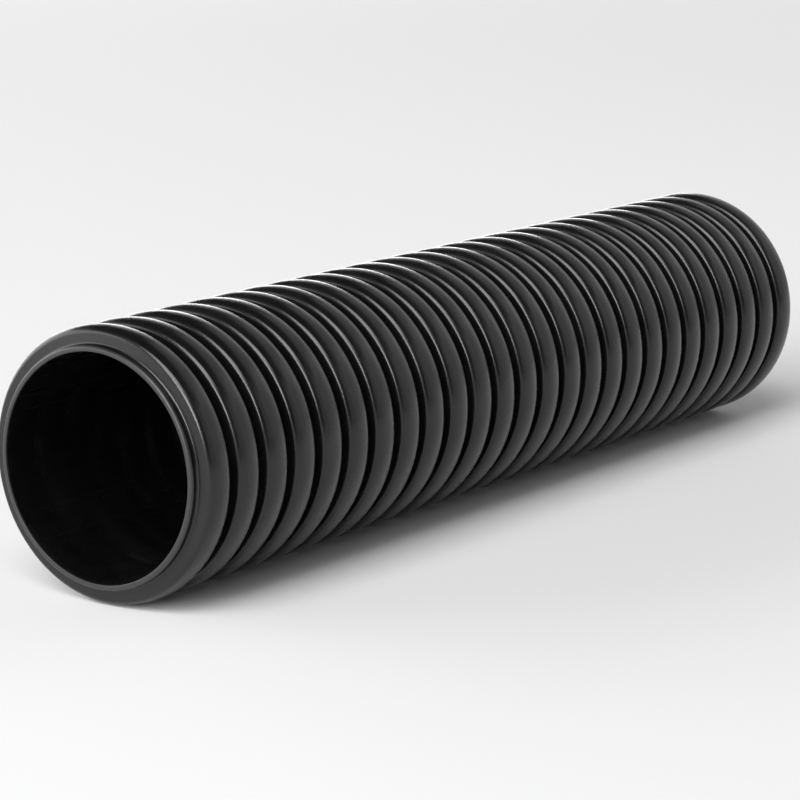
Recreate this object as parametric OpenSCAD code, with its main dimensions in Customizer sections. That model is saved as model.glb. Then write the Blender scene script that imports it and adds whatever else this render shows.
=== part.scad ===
// Corrugated double-wall drainage pipe, cut to a short length.
// The pipe lies along X on the plane z = 0.
// The origin is on that plane, under the middle of the pipe.

/* [Pipe] */
// Outside diameter over the rings
outer_d = 110; // [106:1:120]
// Inside diameter of the smooth bore
bore_d = 91; // [76:1:93]
// Number of rings
ring_count = 26; // [4:1:40]
// Distance from one ring to the next
ring_pitch = 17.9; // [17:0.1:24]

/* [Rings] */
// Width of a ring across its flanks, halfway up
ring_w = 12.8; // [11.5:0.1:14]
// Radius of the domed crown, seen along the wall
crown_r = 11.5; // [10:0.5:40]
// Width of the level land on top of the crown
crown_land = 1.2; // [0.6:0.1:3]
// Rounding between the crown and the flanks
shoulder_r = 2.4; // [1.6:0.1:3]
// Rounding at the foot of a ring
foot_r = 0.9; // [0.5:0.1:1.2]
// Slope of a ring's flanks, in degrees from upright
flank_angle = 4; // [1:1:8]

/* [Walls] */
// Thickness of the fused wall in the valleys
valley_wall = 2.4; // [1.8:0.1:2.8]
// Thickness of the liner under a ring
liner_wall = 1.3; // [1:0.1:1.6]
// Thickness of a ring's outer wall
ring_wall = 1.3; // [0.9:0.1:1.4]

/* [Ends] */
// Length of valley left on each cut end, beside the last ring
end_stub = 3.3; // [2.4:0.1:5]
// Rounding of the outer edge at each cut end
lip_r = 1.2; // [0.4:0.1:1.4]
// Rounding of the bore's edge at each cut end
bore_edge_r = 0.4; // [0.2:0.1:0.4]

/* [Hidden] */
$fn = 144;

outer_r = outer_d / 2;
bore_r = bore_d / 2;
valley_r = bore_r + valley_wall;
middle_r = (outer_r + valley_r) / 2;
half_foot = ring_w / 2 + (outer_r - valley_r) / 2 * tan(flank_angle);
first_ring_x = end_stub + half_foot;
pipe_length = (ring_count - 1) * ring_pitch + 2 * first_ring_x;

// Height of the waste cut off around a rounded corner
waste_h = 3;
// How far neighbouring cuts overlap
overlap = 0.1;
// How far a ring's cuts reach to each side of its middle
valley_reach = ring_pitch / 2 + overlap;

// Ring section: x is measured from the ring's middle and y from the pipe's axis.
// Left flank, by its x at a given height
function flank_x(y) = -ring_w / 2 + (y - middle_r) * tan(flank_angle);

// Unit vectors square to the left flank, pointing out of the ring, and up along it
flank_out = [-cos(flank_angle), sin(flank_angle)];
flank_up = [sin(flank_angle), cos(flank_angle)];

// The crown's arc touches the land at its edge.
crown_c = [-crown_land / 2, outer_r - crown_r];

// The shoulder's arc touches both the flank and the crown's arc.
start = [-ring_w / 2, middle_r] - shoulder_r * flank_out - crown_c;
climb = sqrt(pow(start * flank_up, 2) - start * start + pow(crown_r - shoulder_r, 2)) - start * flank_up;
shoulder_c = crown_c + start + climb * flank_up;
shoulder_dir = (shoulder_c - crown_c) / norm(shoulder_c - crown_c);

// The foot's arc touches both the valley and the flank.
foot_y = valley_r + foot_r;
foot_c = [-ring_w / 2 - (foot_r - (foot_y - middle_r) * sin(flank_angle)) / cos(flank_angle), foot_y];

// Waste outside an arc, between two directions from its centre
module corner_waste(centre, r, dir_a, dir_b) {
    difference() {
        polygon([
            centre + r * dir_a,
            centre + (r + waste_h) * dir_a,
            centre + (r + waste_h) * dir_b,
            centre + r * dir_b
        ]);
        translate(centre) circle(r);
    }
}

// Waste over the left half of a ring: its rounded shoulder and domed crown
module dome_waste(inset) {
    corner_waste(shoulder_c, shoulder_r - inset, flank_out, shoulder_dir);
    corner_waste(crown_c, crown_r - inset, shoulder_dir, [0, 1]);
}

// Waste in the valley left of a ring, with a rounded foot beside the flank
module valley_waste() {
    top_y = outer_r + overlap;
    difference() {
        polygon([
            [-valley_reach, valley_r],
            [flank_x(valley_r), valley_r],
            [flank_x(top_y), top_y],
            [-valley_reach, top_y]
        ]);
        corner_waste(foot_c, foot_r, [0, -1], -flank_out);
    }
}

// Closed air space in a ring
module hollow() {
    base_y = bore_r + liner_wall;
    top_y = outer_r - ring_wall;
    slant_wall = ring_wall / cos(flank_angle);
    base_x = -flank_x(base_y) - slant_wall;
    top_x = -flank_x(top_y) - slant_wall;
    difference() {
        polygon([[-base_x, base_y], [base_x, base_y], [top_x, top_y], [-top_x, top_y]]);
        for (side = [0, 1]) mirror([side, 0]) dome_waste(ring_wall);
    }
}

// Everything cut away to form one ring
module ring_waste() {
    for (side = [0, 1])
        mirror([side, 0]) {
            valley_waste();
            dome_waste(0);
        }
    hollow();
}

// Waste at the left end: the valley left of the first ring, and both edges' roundings
module end_waste() {
    end_valley = max(first_ring_x - ring_pitch / 2, 0);
    translate([-overlap, valley_r]) square([end_valley + 2 * overlap, outer_r - valley_r + overlap]);
    corner_waste([lip_r, valley_r - lip_r], lip_r, [-1, 0], [0, 1]);
    corner_waste([bore_edge_r, bore_r + bore_edge_r], bore_edge_r, [0, -1], [-1, 0]);
}

// Half section of the pipe: x along the pipe, y out from its axis
module wall_section() {
    difference() {
        translate([0, bore_r]) square([pipe_length, outer_r - bore_r]);
        for (k = [0 : ring_count - 1]) translate([first_ring_x + k * ring_pitch, 0]) ring_waste();
        end_waste();
        translate([pipe_length, 0]) mirror([1, 0]) end_waste();
    }
}

// Double-wall pipe with hollow rings outside and a smooth bore inside
module corrugated_pipe() {
    color([0.05, 0.05, 0.055])
        translate([-pipe_length / 2, 0, outer_r])
            rotate([0, 90, 0])
                rotate_extrude()
                    mirror([1, -1]) wall_section();
}

corrugated_pipe();
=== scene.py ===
from math import asin, atan2, cos, hypot, pi, radians, sin, sqrt

import bpy
from mathutils import Matrix, Vector


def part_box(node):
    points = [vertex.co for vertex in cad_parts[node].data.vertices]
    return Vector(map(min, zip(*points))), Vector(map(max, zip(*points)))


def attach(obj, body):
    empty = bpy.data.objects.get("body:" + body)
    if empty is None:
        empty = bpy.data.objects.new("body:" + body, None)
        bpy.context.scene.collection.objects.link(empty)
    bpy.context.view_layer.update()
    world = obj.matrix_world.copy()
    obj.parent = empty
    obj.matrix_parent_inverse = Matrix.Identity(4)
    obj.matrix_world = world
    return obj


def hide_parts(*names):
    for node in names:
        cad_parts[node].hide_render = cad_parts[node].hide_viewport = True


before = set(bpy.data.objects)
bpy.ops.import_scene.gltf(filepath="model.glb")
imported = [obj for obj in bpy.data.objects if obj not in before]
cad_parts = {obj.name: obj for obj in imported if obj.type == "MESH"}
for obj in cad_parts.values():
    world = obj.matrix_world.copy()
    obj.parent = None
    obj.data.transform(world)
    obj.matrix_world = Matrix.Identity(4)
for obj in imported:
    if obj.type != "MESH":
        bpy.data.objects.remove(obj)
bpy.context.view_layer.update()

# The pipe lies along X. Lengths are in metres.
low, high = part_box("corrugated_pipe")
half_length = (high.x - low.x) / 2
outer_r = (high.z - low.z) / 2
axis_z = (high.z + low.z) / 2

# Rings and walls
RING_COUNT = 26
RING_PITCH = 0.0179
RING_WIDTH = 0.0128
CROWN_R = 0.0115
CROWN_LAND = 0.0012
SHOULDER_R = 0.0024
FOOT_R = 0.0009
FLANK_ANGLE = radians(4)
BORE_R = 0.0455
VALLEY_WALL = 0.0024
LIP_R = 0.0012
BORE_EDGE_R = 0.0004

# The liner is blown in a little under each hollow ring.
LINER_BULGE = 0.00055

# The wall cools unevenly, by at most this much, in patches of this size.
WALL_UNEVENNESS = 0.00016
COOLING_PATCH = 0.035

# Faces around the pipe, and on each arc of the section
AROUND = 96
FOOT_FACES = 4
SHOULDER_FACES = 5
CROWN_FACES = 3
LIP_FACES = 5
BORE_EDGE_FACES = 3
LINER_ARC_FACES = 2

# A line starts from a plane of this size, drawn in to a point.
SPECK = 0.001
# Points nearer than this are one point.
TOUCHING = 1e-6
# Faces whose middles are this little outside the bore still belong to it.
BORE_MARGIN = 0.00002
# Edges sharper than this stay sharp.
SHARP_ANGLE = radians(40)

# Blacks and greys of each surface, from dark to light
RING_BLACKS = (0.0045, 0.0045, 0.0048, 1), (0.0065, 0.0065, 0.0068, 1)
LINER_BLACKS = (0.003, 0.003, 0.0032, 1), (0.0045, 0.0045, 0.0047, 1)
SAWN_GREYS = (0.014, 0.014, 0.0142, 1), (0.034, 0.034, 0.0345, 1)
SCUFF_GREY = (0.02, 0.02, 0.021, 1)

# Roughness of each surface, from glossy to dull, and what a scuff adds to it
RING_ROUGHNESS = 0.245, 0.285
LINER_ROUGHNESS = 0.2, 0.28
SAWN_ROUGHNESS = 0.34, 0.42
SCUFF_DULLING = 0.2

# Strength of each surface's bumps, and their depth
RING_BUMPS = 0.25, 0.00008
LINER_BUMPS = 0.1, 0.00004
SAWN_BUMPS = 0.4, 0.00006

# Share of the grain, the parting lines and the scuffs in the bumps
RING_GRAIN_HEIGHT = 0.25
LINER_GRAIN_HEIGHT = 0.12
SAWN_GRAIN_HEIGHT = 0.3
SEAM_HEIGHT = 2.0
SCUFF_DEPTH = 0.5

# How fine each pattern is: the number of its cells to a metre
RING_GRAIN = 1500.0
LINER_GRAIN = 900.0
SAWN_GRAIN = 2200.0
GLOSS_PATCHES = 55.0
SCRATCHES = 1900.0
SCUFFED_PLACES = 38.0
SEAM_WANDER = 160.0
DIE_LINES = 600.0
SAW_MARKS = 2400.0

# The noise's values between which each pattern fades in
PATCH_FADE = 0.3, 0.7
SCRATCH_FADE = 0.66, 0.74
SCUFFED_FADE = 0.48, 0.62
SEAM_FADE = 0.3, 0.6
DIE_FADE = 0.3, 0.7

# The grain has coarser, weaker cells under the fine ones.
COARSE_SCALE = 0.12
COARSE_HEIGHT = 0.7

# Stretch and turn of the patterns that are drawn out into lines
SCRATCH_STRETCH = (0.07, 1, 1)
SCRATCH_TURN = (0.02, 0.05, 0.35)
DIE_STRETCH = (0.004, 1, 1)
SAW_STRETCH = (1, 0.06, 1)
SAW_TURN = (0.3, 0, 0)

# Plane in which the mould's halves meet, half its line's width, and its least height
SEAM_TILT = radians(70)
SEAM_REACH = 0.00035
SEAM_LEAST = 0.35

# Scuffs start this far below the crowns' tops, and are whole at the second depth.
SCUFF_START = 0.0016
SCUFF_WHOLE = 0.0003
SCUFF_AMOUNT = 0.4

POLYETHYLENE_IOR = 1.5

# Softboxes: name, azimuth, elevation, distance, width and height, radiance.
# They face the middle of the pipe. Angles are in degrees.
SOFTBOXES = (
    ("Low_key", 186, 15, 10.0, (5.0, 2.4), 13.5),
    ("High_key", 186, 33, 10.0, (4.7, 3.4), 8.2),
    ("Overhead", 196, 53, 10.0, (6.7, 3.0), 7.6),
    ("Rear_wall", 108, 17, 5.0, (9.0, 3.0), 3.0),
    ("Horizon_strip", 42, 6, 6.0, (2.9, 1.2), 4.6),
    ("Back_wall", 14, 16, 5.0, (5.2, 2.6), 0.75),
    ("Side_wall", 322, 18, 4.0, (3.4, 3.0), 0.62),
    ("Side_ceiling", 345, 46, 4.0, (4.0, 1.6), 0.48),
    ("Front_wall", 284, 22, 4.0, (2.4, 2.9), 0.5),
)
# A small one faces the mouth.
MOUTH_STRIP = "Mouth_strip", 190, 14, 0.6, (0.3, 0.16), 2.0
AIR_LIGHT = 0.02

FLOOR_R = 12
FLOOR_SIDES = 96
FLOOR_PALE = (0.85, 0.85, 0.85, 1)
FLOOR_ROUGHNESS = 0.9

# Camera: its place from the mouth's centre, its axes, and its lens and sensor in mm
CAMERA_PLACE = (-0.8559, -0.7447, 0.2614)
CAMERA_BACK = (-0.80097, -0.56313, 0.20330)
CAMERA_RIGHT = (0.57515, -0.81805, 0.0)
CAMERA_LENS = 136.19
CAMERA_SENSOR = 36
CAMERA_REACH = 60

valley_r = BORE_R + VALLEY_WALL
middle_r = (outer_r + valley_r) / 2
# Middle of the first ring, and of the valley before it
ring_x = -(RING_COUNT - 1) / 2 * RING_PITCH
valley_x = ring_x - RING_PITCH / 2
end_x = -half_length


def select_none():
    """Leave no object selected."""
    if bpy.context.object and bpy.context.object.mode != "OBJECT":
        bpy.ops.object.mode_set(mode="OBJECT")
    bpy.ops.object.select_all(action="DESELECT")


def make_active(piece):
    """Select one object alone."""
    select_none()
    piece.select_set(True)
    bpy.context.view_layer.objects.active = piece


def pick(piece, kind, test):
    """In edit mode, select the vertices or faces whose place passes a test."""
    bpy.ops.mesh.select_mode(type=kind)
    bpy.ops.mesh.select_all(action="DESELECT")
    bpy.ops.object.mode_set(mode="OBJECT")
    if kind == "FACE":
        for face in piece.data.polygons:
            face.select = test(face.center)
    else:
        for vertex in piece.data.vertices:
            vertex.select = test(vertex.co)
    bpy.ops.object.mode_set(mode="EDIT")


def start_line(name, x, r):
    """Begin a line in the half section, x along the pipe's axis and r out from it."""
    select_none()
    bpy.ops.mesh.primitive_plane_add(size=SPECK, location=(x, 0, axis_z + r))
    line = bpy.context.object
    line.name = name
    bpy.ops.object.transform_apply(location=True, rotation=True, scale=True)
    bpy.ops.object.mode_set(mode="EDIT")
    bpy.ops.mesh.select_all(action="SELECT")
    bpy.ops.mesh.merge(type="CENTER")
    return line


def line_to(start, end):
    """Draw a straight stretch between two (x, r) points and return its end."""
    step = (end[0] - start[0], 0, end[1] - start[1])
    bpy.ops.mesh.extrude_region_move(TRANSFORM_OT_translate={"value": step})
    return end


def arc_to(start, centre, turn, steps):
    """Draw an arc round an (x, r) centre and return its end.

    A positive turn is anticlockwise.
    """
    bpy.ops.mesh.spin(
        steps=steps,
        angle=turn,
        center=(centre[0], 0, axis_z + centre[1]),
        axis=(0, 1, 0),
    )
    x, r = start[0] - centre[0], start[1] - centre[1]
    return (
        centre[0] + x * cos(turn) - r * sin(turn),
        centre[1] + x * sin(turn) + r * cos(turn),
    )


def mirror_line(x):
    """Copy the line that is being drawn to the other side of x, and join the halves."""
    bpy.ops.mesh.select_all(action="SELECT")
    bpy.ops.mesh.duplicate()
    bpy.ops.transform.resize(value=(-1, 1, 1), center_override=(x, 0, axis_z))
    bpy.ops.mesh.select_all(action="SELECT")
    bpy.ops.mesh.remove_doubles(threshold=TOUCHING)


def repeat_line(line):
    """Repeat a ring's stretch of line, joined end to end, to the middle of the pipe."""
    make_active(line)
    rows = line.modifiers.new("Rows", "ARRAY")
    rows.count = RING_COUNT // 2
    rows.use_relative_offset = False
    rows.use_constant_offset = True
    rows.constant_offset_displace = (RING_PITCH, 0, 0)
    rows.use_merge_vertices = True
    rows.merge_threshold = TOUCHING
    bpy.ops.object.modifier_apply(modifier=rows.name)


def draw_ring_line():
    """Draw the rings with their feet, leaning flanks, shoulders and domed crowns."""
    # The shoulder's arc touches the flank and the crown's arc.
    crown_c = Vector((ring_x - CROWN_LAND / 2, outer_r - CROWN_R))
    out = Vector((-cos(FLANK_ANGLE), sin(FLANK_ANGLE)))
    up = Vector((sin(FLANK_ANGLE), cos(FLANK_ANGLE)))
    first = Vector((ring_x - RING_WIDTH / 2, middle_r)) - SHOULDER_R * out - crown_c
    along = first.dot(up)
    climb = sqrt(along**2 - first.dot(first) + (CROWN_R - SHOULDER_R) ** 2) - along
    shoulder_c = crown_c + first + climb * up
    lean = atan2(shoulder_c.x - crown_c.x, shoulder_c.y - crown_c.y)

    # The foot's arc touches the valley and the flank.
    foot_rise = valley_r + FOOT_R - middle_r
    foot_back = (FOOT_R - foot_rise * sin(FLANK_ANGLE)) / cos(FLANK_ANGLE)
    foot_c = Vector((ring_x - RING_WIDTH / 2 - foot_back, valley_r + FOOT_R))

    line = start_line("Ring_line", valley_x, valley_r)
    at = line_to((valley_x, valley_r), (foot_c.x, valley_r))
    at = arc_to(at, foot_c, pi / 2 - FLANK_ANGLE, FOOT_FACES)
    at = line_to(at, tuple(shoulder_c + SHOULDER_R * out))
    at = arc_to(at, shoulder_c, -(pi / 2 - FLANK_ANGLE + lean), SHOULDER_FACES)
    at = arc_to(at, crown_c, lean, CROWN_FACES)
    line_to(at, (ring_x, outer_r))
    mirror_line(ring_x)
    repeat_line(line)
    return line


def draw_liner_line():
    """Draw the liner's waves, which bulge into the bore under the rings."""
    half_wave = RING_PITCH / 4
    sag = LINER_BULGE / 2
    wave_r = (half_wave**2 + sag**2) / (2 * sag)
    turn = asin(half_wave / wave_r)
    line = start_line("Liner_line", valley_x, BORE_R)
    at = arc_to((valley_x, BORE_R), (valley_x, BORE_R - wave_r), -turn, LINER_ARC_FACES)
    arc_to(at, (ring_x, BORE_R - LINER_BULGE + wave_r), turn, LINER_ARC_FACES)
    mirror_line(ring_x)
    repeat_line(line)
    return line


def draw_end(line):
    """Finish the ring line at the cut end: rounded lip, sawn face and bore's edge."""
    make_active(line)
    bpy.ops.object.mode_set(mode="EDIT")
    pick(line, "VERT", lambda place: place.x < valley_x + TOUCHING)
    lip_x = end_x + LIP_R
    bpy.ops.transform.translate(value=(lip_x - valley_x, 0, 0))
    at = arc_to((lip_x, valley_r), (lip_x, valley_r - LIP_R), pi / 2, LIP_FACES)
    at = line_to(at, (end_x, BORE_R + BORE_EDGE_R))
    arc_to(at, (end_x + BORE_EDGE_R, BORE_R + BORE_EDGE_R), pi / 2, BORE_EDGE_FACES)
    bpy.ops.object.mode_set(mode="OBJECT")


def build_pipe():
    """Turn the half section once round the pipe's axis."""
    pipe = draw_ring_line()
    draw_end(pipe)
    liner = draw_liner_line()
    make_active(pipe)
    liner.select_set(True)
    bpy.ops.object.join()
    pipe.name = "Pipe"
    pipe.data.name = "Pipe"

    def joins_bore(place):
        at_edge = abs(place.x - end_x - BORE_EDGE_R) < TOUCHING
        at_liner = abs(place.x - valley_x) < TOUCHING
        return place.z < axis_z + BORE_R + TOUCHING and (at_edge or at_liner)

    # Join the bore's edge to the liner's first wave.
    bpy.ops.object.mode_set(mode="EDIT")
    pick(pipe, "VERT", joins_bore)
    bpy.ops.mesh.edge_face_add()
    mirror_line(0)
    bpy.ops.mesh.spin(steps=AROUND, angle=2 * pi, center=(0, 0, axis_z), axis=(1, 0, 0))
    bpy.ops.mesh.select_all(action="SELECT")
    bpy.ops.mesh.remove_doubles(threshold=TOUCHING)
    bpy.ops.mesh.normals_make_consistent(inside=False)
    bpy.ops.object.mode_set(mode="OBJECT")
    return pipe


def make_uneven(pipe):
    """Draw the wall in by a hair here and there, as it cools unevenly."""
    make_active(pipe)
    cooling = bpy.data.textures.new("Cooling", "CLOUDS")
    cooling.noise_scale = COOLING_PATCH
    cooling.noise_depth = 1
    uneven = pipe.modifiers.new("Uneven", "DISPLACE")
    uneven.texture = cooling
    uneven.texture_coords = "LOCAL"
    uneven.strength = WALL_UNEVENNESS
    uneven.mid_level = 1
    bpy.ops.object.modifier_apply(modifier=uneven.name)


def soften_shading(pipe):
    """Shade the curves smooth and keep the broad flanks flat."""
    make_active(pipe)
    bpy.ops.object.shade_smooth_by_angle(angle=SHARP_ANGLE)
    weighted = pipe.modifiers.new("Even_normals", "WEIGHTED_NORMAL")
    weighted.keep_sharp = True
    bpy.ops.object.modifier_apply(modifier=weighted.name)


class Nodes:
    """Adds nodes to one node tree, in rows from left to right."""

    IN_A_ROW = 9
    LEFT, TOP = -1800, 600
    ACROSS, DOWN = 220, 300

    def __init__(self, tree):
        self.tree = tree
        self.count = 0

    def add(self, kind, inputs=None, **settings):
        """Add a node, set its properties and set or link its inputs."""
        node = self.tree.nodes.new(kind)
        row, column = divmod(self.count, self.IN_A_ROW)
        node.location = (self.LEFT + self.ACROSS * column, self.TOP - self.DOWN * row)
        self.count += 1
        for name, value in settings.items():
            setattr(node, name, value)
        for name, value in (inputs or {}).items():
            if isinstance(value, bpy.types.NodeSocket):
                self.tree.links.new(value, node.inputs[name])
            else:
                node.inputs[name].default_value = value
        return node

    def math(self, operation, a, b, clamp=False):
        """Add a Math node and return its output."""
        node = self.add(
            "ShaderNodeMath", {0: a, 1: b}, operation=operation, use_clamp=clamp
        )
        return node.outputs[0]

    def vector(self, operation, a, b=None):
        """Add a Vector Math node and return the node."""
        inputs = {0: a} if b is None else {0: a, 1: b}
        return self.add("ShaderNodeVectorMath", inputs, operation=operation)

    def spread(self, value, start, end, low_value=0.0, high_value=1.0):
        """Map a value from one range to another, smoothly and without overshoot."""
        node = self.add(
            "ShaderNodeMapRange",
            {
                "Value": value,
                "From Min": start,
                "From Max": end,
                "To Min": low_value,
                "To Max": high_value,
            },
            interpolation_type="SMOOTHSTEP",
        )
        return node.outputs["Result"]

    def noise(self, vector, scale, detail=2.0, roughness=0.5):
        """Add a Noise Texture and return its value."""
        node = self.add(
            "ShaderNodeTexNoise",
            {
                "Vector": vector,
                "Scale": scale,
                "Detail": detail,
                "Roughness": roughness,
            },
        )
        return node.outputs["Fac"]

    def mapping(self, vector, stretch, turn=(0, 0, 0)):
        """Turn and stretch a pattern's place."""
        node = self.add(
            "ShaderNodeMapping",
            {"Vector": vector, "Rotation": turn, "Scale": stretch},
        )
        return node.outputs["Vector"]

    def blend(self, mask, first, second):
        """Blend two colours by a mask."""
        node = self.add(
            "ShaderNodeMix", {0: mask, 6: first, 7: second}, data_type="RGBA"
        )
        return node.outputs[2]

    def group(self, group, inputs):
        """Place a node group and return its outputs."""
        return self.add("ShaderNodeGroup", inputs, node_tree=group).outputs


def new_group(name, inputs, outputs):
    """Start a shader node group, and return it, its helper and its inputs."""
    group = bpy.data.node_groups.new(name, "ShaderNodeTree")
    for socket_name, kind in inputs:
        group.interface.new_socket(
            name=socket_name, in_out="INPUT", socket_type="NodeSocket" + kind
        )
    for socket_name, kind in outputs:
        group.interface.new_socket(
            name=socket_name, in_out="OUTPUT", socket_type="NodeSocket" + kind
        )
    nodes = Nodes(group)
    return group, nodes, nodes.add("NodeGroupInput").outputs


def make_place_group():
    """Where a point is, centred on the pipe's axis, and how far out it is."""
    group, nodes, given = new_group(
        "Place_on_pipe",
        [("Place", "Vector")],
        [("Centred", "Vector"), ("Radius", "Float")],
    )
    centred = nodes.vector("SUBTRACT", given["Place"], (0, 0, axis_z)).outputs[0]
    across = nodes.vector("MULTIPLY", centred, (0, 1, 1)).outputs[0]
    radius = nodes.vector("LENGTH", across).outputs["Value"]
    nodes.add("NodeGroupOutput", {"Centred": centred, "Radius": radius})
    return group


def make_grain_group():
    """Fine satin grain and slow cloudy patches of gloss."""
    group, nodes, given = new_group(
        "Polyethylene_grain",
        [("Place", "Vector"), ("Grain Scale", "Float")],
        [("Height", "Float"), ("Patches", "Float")],
    )
    place, scale = given["Place"], given["Grain Scale"]
    fine = nodes.noise(place, scale, detail=3.0, roughness=0.6)
    coarse = nodes.noise(place, nodes.math("MULTIPLY", scale, COARSE_SCALE))
    height = nodes.math("ADD", nodes.math("MULTIPLY", coarse, COARSE_HEIGHT), fine)
    patches = nodes.noise(place, GLOSS_PATCHES, detail=3.0, roughness=0.6)
    patches = nodes.spread(patches, *PATCH_FADE)
    nodes.add("NodeGroupOutput", {"Height": height, "Patches": patches})
    return group


def make_scuff_group():
    """Short scratches drawn along the pipe, in scattered places."""
    group, nodes, given = new_group(
        "Handling_scuffs",
        [("Place", "Vector"), ("Amount", "Float")],
        [("Mask", "Float")],
    )
    drawn = nodes.mapping(given["Place"], SCRATCH_STRETCH, SCRATCH_TURN)
    lines = nodes.noise(drawn, SCRATCHES, roughness=0.6)
    lines = nodes.spread(lines, *SCRATCH_FADE)
    where = nodes.noise(given["Place"], SCUFFED_PLACES)
    where = nodes.spread(where, *SCUFFED_FADE)
    mask = nodes.math("MULTIPLY", lines, where)
    mask = nodes.math("MULTIPLY", mask, given["Amount"], clamp=True)
    nodes.add("NodeGroupOutput", {"Mask": mask})
    return group


def new_material(name):
    """Start a material, and return it, its helper and the place on the piece."""
    material = bpy.data.materials.new(name)
    material.use_nodes = True
    tree = material.node_tree
    tree.nodes["Principled BSDF"].location = (300, 300)
    tree.nodes["Material Output"].location = (600, 300)
    nodes = Nodes(tree)
    return material, nodes, nodes.add("ShaderNodeTexCoord").outputs["Object"]


def finish_surface(nodes, tint, rough, height, bumps):
    """Feed the shader with a colour, a roughness and a height."""
    shader = nodes.tree.nodes["Principled BSDF"]
    strength, depth = bumps
    bump = nodes.add(
        "ShaderNodeBump", {"Height": height, "Strength": strength, "Distance": depth}
    )
    nodes.tree.links.new(tint, shader.inputs["Base Color"])
    nodes.tree.links.new(rough, shader.inputs["Roughness"])
    nodes.tree.links.new(bump.outputs["Normal"], shader.inputs["Normal"])
    shader.inputs["IOR"].default_value = POLYETHYLENE_IOR


def make_ring_skin(groups):
    """Moulded outside: satin black, scuffed on the crowns, with two parting lines."""
    material, nodes, place = new_material("Ring_skin")
    on_pipe = nodes.group(groups["place"], {"Place": place})
    grain = nodes.group(groups["grain"], {"Place": place, "Grain Scale": RING_GRAIN})
    scuffs = nodes.group(groups["scuffs"], {"Place": place, "Amount": SCUFF_AMOUNT})

    # Scuffs keep to the crowns, which touch other things.
    crown = nodes.spread(
        on_pipe["Radius"], outer_r - SCUFF_START, outer_r - SCUFF_WHOLE
    )
    scuffed = nodes.math("MULTIPLY", scuffs["Mask"], crown)

    # The mould's halves meet on a plane through the axis.
    across_seam = (0, sin(SEAM_TILT), -cos(SEAM_TILT))
    split = nodes.vector("DOT_PRODUCT", on_pipe["Centred"], across_seam)
    split = nodes.add(
        "ShaderNodeMath", {0: split.outputs["Value"]}, operation="ABSOLUTE"
    )
    seam = nodes.spread(split.outputs[0], 0.0, SEAM_REACH, 1.0, 0.0)
    wander = nodes.noise(place, SEAM_WANDER)
    wander = nodes.spread(wander, *SEAM_FADE, SEAM_LEAST, 1.0)
    seam = nodes.math("MULTIPLY", seam, wander)

    tint = nodes.blend(grain["Patches"], *RING_BLACKS)
    tint = nodes.blend(scuffed, tint, SCUFF_GREY)
    rough = nodes.spread(grain["Patches"], 0.0, 1.0, *RING_ROUGHNESS)
    dulled = nodes.math("MULTIPLY", scuffed, SCUFF_DULLING)
    rough = nodes.math("ADD", rough, dulled)
    height = nodes.math("MULTIPLY", grain["Height"], RING_GRAIN_HEIGHT)
    ridge = nodes.math("MULTIPLY", seam, SEAM_HEIGHT)
    height = nodes.math("ADD", height, ridge)
    groove = nodes.math("MULTIPLY", scuffed, SCUFF_DEPTH)
    height = nodes.math("SUBTRACT", height, groove)
    finish_surface(nodes, tint, rough, height, RING_BUMPS)
    return material


def make_liner_skin(groups):
    """Smooth bore: glossier, with faint lines drawn along it by the die."""
    material, nodes, place = new_material("Liner_skin")
    grain = nodes.group(groups["grain"], {"Place": place, "Grain Scale": LINER_GRAIN})
    die_lines = nodes.noise(nodes.mapping(place, DIE_STRETCH), DIE_LINES)

    tint = nodes.blend(grain["Patches"], *LINER_BLACKS)
    rough = nodes.spread(die_lines, *DIE_FADE, *LINER_ROUGHNESS)
    height = nodes.math("MULTIPLY", grain["Height"], LINER_GRAIN_HEIGHT)
    height = nodes.math("ADD", height, die_lines)
    finish_surface(nodes, tint, rough, height, LINER_BUMPS)
    return material


def make_sawn_face(groups):
    """Cut end: duller and a little greyer, with the saw's marks across it."""
    material, nodes, place = new_material("Sawn_face")
    grain = nodes.group(groups["grain"], {"Place": place, "Grain Scale": SAWN_GRAIN})
    across = nodes.mapping(place, SAW_STRETCH, SAW_TURN)
    saw_marks = nodes.noise(across, SAW_MARKS, roughness=0.6)

    tint = nodes.blend(saw_marks, *SAWN_GREYS)
    rough = nodes.spread(grain["Patches"], 0.0, 1.0, *SAWN_ROUGHNESS)
    height = nodes.math("MULTIPLY", grain["Height"], SAWN_GRAIN_HEIGHT)
    height = nodes.math("ADD", saw_marks, height)
    finish_surface(nodes, tint, rough, height, SAWN_BUMPS)
    return material


def paint_pipe(pipe):
    """Give the outside, the bore and the cut ends their own finishes."""
    groups = {
        "place": make_place_group(),
        "grain": make_grain_group(),
        "scuffs": make_scuff_group(),
    }
    make_active(pipe)
    for make_skin in (make_ring_skin, make_liner_skin, make_sawn_face):
        pipe.data.materials.append(make_skin(groups))

    def is_bore(place):
        return hypot(place.y, place.z - axis_z) < BORE_R + BORE_MARGIN

    def is_sawn(place):
        return abs(place.x) > half_length - LIP_R and not is_bore(place)

    bpy.ops.object.mode_set(mode="EDIT")
    for slot_index, test in ((1, is_bore), (2, is_sawn)):
        pick(pipe, "FACE", test)
        pipe.active_material_index = slot_index
        bpy.ops.object.material_slot_assign()
    bpy.ops.object.mode_set(mode="OBJECT")


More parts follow.
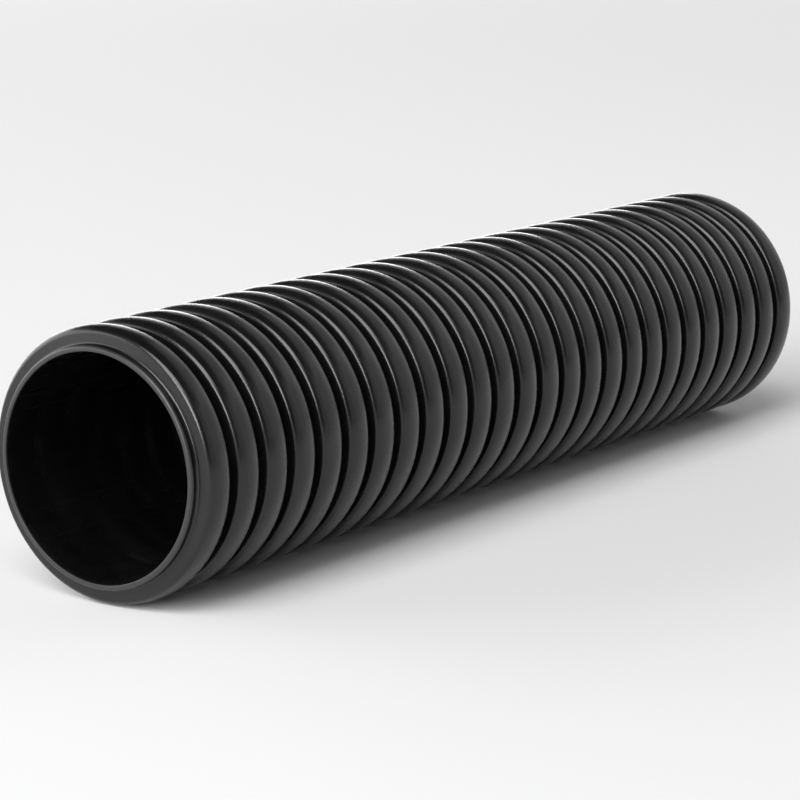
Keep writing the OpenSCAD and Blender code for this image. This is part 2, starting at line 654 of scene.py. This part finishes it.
def make_floor():
    """Plain pale floor."""
    select_none()
    bpy.ops.mesh.primitive_circle_add(
        vertices=FLOOR_SIDES, radius=FLOOR_R, fill_type="NGON", location=(0, 0, 0)
    )
    floor = bpy.context.object
    floor.name = "Floor"
    material = bpy.data.materials.new("Floor_paint")
    material.use_nodes = True
    shader = material.node_tree.nodes["Principled BSDF"]
    shader.inputs["Base Color"].default_value = FLOOR_PALE
    shader.inputs["Roughness"].default_value = FLOOR_ROUGHNESS
    shader.inputs["Specular IOR Level"].default_value = 0
    floor.data.materials.append(material)


def make_softbox(name, azimuth, elevation, distance, size, radiance, target):
    """Hang a rectangular soft light that faces a target, and never shows itself."""
    az, el = radians(azimuth), radians(elevation)
    aim = Vector(target)
    place = aim + distance * Vector((cos(az) * cos(el), sin(az) * cos(el), sin(el)))
    bpy.ops.object.light_add(type="AREA", location=place)
    light = bpy.context.object
    light.name = name
    light.rotation_euler = (aim - place).to_track_quat("-Z", "Y").to_euler()
    light.data.shape = "RECTANGLE"
    light.data.size, light.data.size_y = size
    light.data.energy = radiance * size[0] * size[1] * pi
    light.visible_camera = False


def light_studio():
    """Hang the softboxes and give the air a little light."""
    select_none()
    for softbox in SOFTBOXES:
        make_softbox(*softbox, target=(0, 0, axis_z))
    make_softbox(*MOUTH_STRIP, target=(end_x, 0, axis_z))
    world = bpy.data.worlds.new("Studio_air")
    bpy.context.scene.world = world
    world.use_nodes = True
    air = world.node_tree.nodes["Background"]
    air.inputs["Color"].default_value = (1, 1, 1, 1)
    air.inputs["Strength"].default_value = AIR_LIGHT


def place_camera():
    """Camera before the mouth and to one side, looking a little down along the pipe."""
    back = Vector(CAMERA_BACK).normalized()
    right = Vector(CAMERA_RIGHT).normalized()
    turn = Matrix((right, back.cross(right), back)).transposed().to_4x4()
    place = Vector((end_x, 0, axis_z)) + Vector(CAMERA_PLACE)
    bpy.ops.object.camera_add()
    camera = bpy.context.object
    camera.name = "Camera"
    camera.matrix_world = Matrix.Translation(place) @ turn
    camera.data.sensor_width = CAMERA_SENSOR
    camera.data.lens = CAMERA_LENS
    camera.data.clip_end = CAMERA_REACH
    bpy.context.scene.camera = camera


pipe = build_pipe()
make_uneven(pipe)
paint_pipe(pipe)
soften_shading(pipe)
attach(pipe, "root")
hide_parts("corrugated_pipe")

make_floor()
light_studio()
place_camera()
bpy.context.scene.view_settings.view_transform = "Standard"
